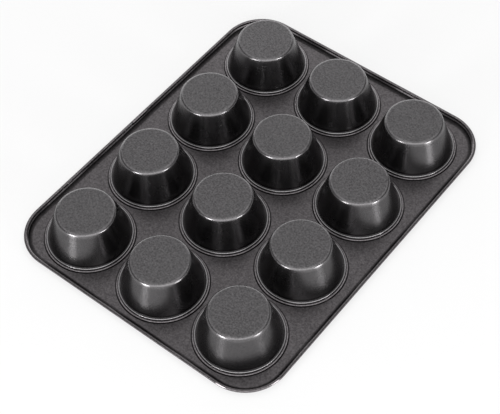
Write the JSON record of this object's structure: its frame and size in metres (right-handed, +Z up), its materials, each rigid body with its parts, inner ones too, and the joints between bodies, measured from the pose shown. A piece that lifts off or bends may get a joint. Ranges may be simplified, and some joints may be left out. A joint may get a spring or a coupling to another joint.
{
  "type": "muffin tin",
  "caption": "Shallow baking tin, shown upside down: a wired-edge deck sheet carrying a grid of tapered, flat-bottomed cups that are crimped into its holes.",
  "frame": {"origin": "middle of the deck face that the upside-down tin lies on, at floor level", "axes": "+X along the short side (3 cups), +Y along the long side (4 cups), +Z up, from the deck to the bottoms of the cups. The tin is upside down, so in use +Z points down."},
  "size_m": [0.264, 0.336, 0.0342],
  "materials": {
    "frame_coating": "dark grey semi-gloss non-stick coating on steel sheet",
    "cup_coating": "dark grey semi-gloss non-stick coating on steel sheet",
    "wire_steel": "plain drawn steel wire, inside the curl"
  },
  "bodies": {
    "root": {"frame_sheet": "frame_coating", "rim_wire": "wire_steel", "cup_01": "cup_coating", "cup_02": "cup_coating", "cup_03": "cup_coating", "cup_04": "cup_coating", "cup_05": "cup_coating", "cup_06": "cup_coating", "cup_07": "cup_coating", "cup_08": "cup_coating", "cup_09": "cup_coating", "cup_10": "cup_coating", "cup_11": "cup_coating", "cup_12": "cup_coating"}
  },
  "joints": []
}
